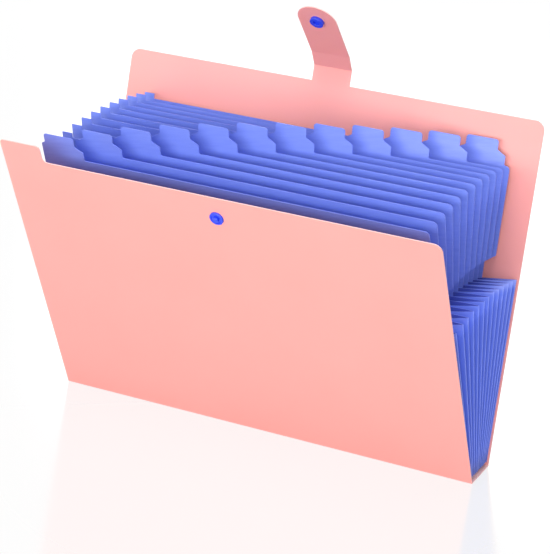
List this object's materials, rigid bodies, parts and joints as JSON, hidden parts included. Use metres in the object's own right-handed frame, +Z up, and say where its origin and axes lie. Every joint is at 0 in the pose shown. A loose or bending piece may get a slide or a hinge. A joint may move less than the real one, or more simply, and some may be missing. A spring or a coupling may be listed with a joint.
{
  "type": "accordion file folder",
  "caption": "Expanding file folder standing open: splayed covers on a base strip, tabbed dividers between pleated side gussets, and a snap strap.",
  "frame": {"origin": "middle of the base strip's underside", "axes": "+X along the width to the right, +Y from front to back, +Z up"},
  "size_m": [0.33, 0.1835, 0.3004],
  "materials": {
    "cover_sheet": "matt embossed sheet",
    "divider_sheet": "satin sheet",
    "gusset_sheet": "satin pleated sheet",
    "snap_plastic": "moulded, glossy"
  },
  "bodies": {
    "base": {"base_strip": "cover_sheet"},
    "front_cover": {"front_cover": "cover_sheet", "front_snap_stud": "snap_plastic", "front_snap_cap": "snap_plastic"},
    "divider_01": {"divider_01": "divider_sheet", "right_pleat_01": "gusset_sheet", "left_pleat_01": "gusset_sheet"},
    "divider_02": {"divider_02": "divider_sheet", "right_pleat_02": "gusset_sheet", "left_pleat_02": "gusset_sheet"},
    "divider_03": {"divider_03": "divider_sheet", "right_pleat_03": "gusset_sheet", "left_pleat_03": "gusset_sheet"},
    "divider_04": {"divider_04": "divider_sheet", "right_pleat_04": "gusset_sheet", "left_pleat_04": "gusset_sheet"},
    "divider_05": {"divider_05": "divider_sheet", "right_pleat_05": "gusset_sheet", "left_pleat_05": "gusset_sheet"},
    "divider_06": {"divider_06": "divider_sheet", "right_pleat_06": "gusset_sheet", "left_pleat_06": "gusset_sheet"},
    "divider_07": {"divider_07": "divider_sheet", "right_pleat_07": "gusset_sheet", "left_pleat_07": "gusset_sheet"},
    "divider_08": {"divider_08": "divider_sheet", "right_pleat_08": "gusset_sheet", "left_pleat_08": "gusset_sheet"},
    "divider_09": {"divider_09": "divider_sheet", "right_pleat_09": "gusset_sheet", "left_pleat_09": "gusset_sheet"},
    "divider_10": {"divider_10": "divider_sheet", "right_pleat_10": "gusset_sheet", "left_pleat_10": "gusset_sheet"},
    "divider_11": {"divider_11": "divider_sheet", "right_pleat_11": "gusset_sheet", "left_pleat_11": "gusset_sheet"},
    "divider_12": {"divider_12": "divider_sheet", "right_pleat_12": "gusset_sheet", "left_pleat_12": "gusset_sheet"},
    "back_cover": {"back_cover": "cover_sheet", "right_pleat_13": "gusset_sheet", "left_pleat_13": "gusset_sheet"},
    "strap_bridge": {"strap_bridge": "cover_sheet"},
    "strap_tongue": {"strap_tongue": "cover_sheet", "strap_snap_socket": "snap_plastic", "strap_snap_cap": "snap_plastic"}
  },
  "joints": [
    {"name": "front_cover_fold", "type": "hinge", "parent": "base", "child": "front_cover", "pos_m": [0, -0.0145, 0.0004], "axis": [-1, 0, 0], "range_deg": [0, 20.89], "deforming": ["right_pleat_01", "right_pleat_02", "right_pleat_03", "right_pleat_04", "right_pleat_05", "right_pleat_06", "right_pleat_07", "right_pleat_08", "right_pleat_09", "right_pleat_10", "right_pleat_11", "right_pleat_12", "right_pleat_13", "left_pleat_01", "left_pleat_02", "left_pleat_03", "left_pleat_04", "left_pleat_05", "left_pleat_06", "left_pleat_07", "left_pleat_08", "left_pleat_09", "left_pleat_10", "left_pleat_11", "left_pleat_12", "left_pleat_13"]},
    {"name": "divider_01_lean", "type": "hinge", "parent": "base", "child": "divider_01", "pos_m": [0, -0.01227, 0.0013], "axis": [-1, 0, 0], "range_deg": [0, 16.14]},
    {"name": "divider_02_lean", "type": "hinge", "parent": "base", "child": "divider_02", "pos_m": [0, -0.01004, 0.0013], "axis": [-1, 0, 0], "range_deg": [0, 13.08]},
    {"name": "divider_03_lean", "type": "hinge", "parent": "base", "child": "divider_03", "pos_m": [0, -0.00781, 0.0013], "axis": [-1, 0, 0], "range_deg": [0, 10.02]},
    {"name": "divider_04_lean", "type": "hinge", "parent": "base", "child": "divider_04", "pos_m": [0, -0.00558, 0.0013], "axis": [-1, 0, 0], "range_deg": [0, 6.96]},
    {"name": "divider_05_lean", "type": "hinge", "parent": "base", "child": "divider_05", "pos_m": [0, -0.00335, 0.0013], "axis": [-1, 0, 0], "range_deg": [0, 3.9]},
    {"name": "divider_06_lean", "type": "hinge", "parent": "base", "child": "divider_06", "pos_m": [0, -0.00112, 0.0013], "axis": [-1, 0, 0], "range_deg": [0, 0.841]},
    {"name": "divider_07_lean", "type": "hinge", "parent": "base", "child": "divider_07", "pos_m": [0, 0.00112, 0.0013], "axis": [-1, 0, 0], "range_deg": [-2.22, 0]},
    {"name": "divider_08_lean", "type": "hinge", "parent": "base", "child": "divider_08", "pos_m": [0, 0.00335, 0.0013], "axis": [-1, 0, 0], "range_deg": [-5.28, 0]},
    {"name": "divider_09_lean", "type": "hinge", "parent": "base", "child": "divider_09", "pos_m": [0, 0.00558, 0.0013], "axis": [-1, 0, 0], "range_deg": [-8.34, 0]},
    {"name": "divider_10_lean", "type": "hinge", "parent": "base", "child": "divider_10", "pos_m": [0, 0.00781, 0.0013], "axis": [-1, 0, 0], "range_deg": [-11.4, 0]},
    {"name": "divider_11_lean", "type": "hinge", "parent": "base", "child": "divider_11", "pos_m": [0, 0.01004, 0.0013], "axis": [-1, 0, 0], "range_deg": [-14.46, 0]},
    {"name": "divider_12_lean", "type": "hinge", "parent": "base", "child": "divider_12", "pos_m": [0, 0.01227, 0.0013], "axis": [-1, 0, 0], "range_deg": [-17.52, 0]},
    {"name": "back_cover_fold", "type": "hinge", "parent": "base", "child": "back_cover", "pos_m": [0, 0.0145, 0.0004], "axis": [-1, 0, 0], "range_deg": [-18.59, 0]},
    {"name": "strap_root_fold", "type": "hinge", "parent": "back_cover", "child": "strap_bridge", "pos_m": [0, 0.08695, 0.23444], "axis": [1, 0, 0], "range_deg": [-60, 60], "stiffness_Nm_per_rad": 0.05},
    {"name": "strap_tongue_fold", "type": "hinge", "parent": "strap_bridge", "child": "strap_tongue", "pos_m": [0, 0.08564, 0.25692], "axis": [1, 0, 0], "range_deg": [-13.4, 20], "stiffness_Nm_per_rad": 0.05}
  ],
  "couplings": [
    {"joint": "divider_01_lean", "follows": "front_cover_fold", "ratio": 0.77256},
    {"joint": "divider_02_lean", "follows": "front_cover_fold", "ratio": 0.62609},
    {"joint": "divider_03_lean", "follows": "front_cover_fold", "ratio": 0.47963},
    {"joint": "divider_04_lean", "follows": "front_cover_fold", "ratio": 0.33316},
    {"joint": "divider_05_lean", "follows": "front_cover_fold", "ratio": 0.18669},
    {"joint": "divider_06_lean", "follows": "front_cover_fold", "ratio": 0.040217},
    {"joint": "divider_07_lean", "follows": "front_cover_fold", "ratio": -0.10625},
    {"joint": "divider_08_lean", "follows": "front_cover_fold", "ratio": -0.25272},
    {"joint": "divider_09_lean", "follows": "front_cover_fold", "ratio": -0.39919},
    {"joint": "divider_10_lean", "follows": "front_cover_fold", "ratio": -0.54566},
    {"joint": "divider_11_lean", "follows": "front_cover_fold", "ratio": -0.69213},
    {"joint": "divider_12_lean", "follows": "front_cover_fold", "ratio": -0.8386},
    {"joint": "back_cover_fold", "follows": "front_cover_fold", "ratio": -0.88987}
  ]
}
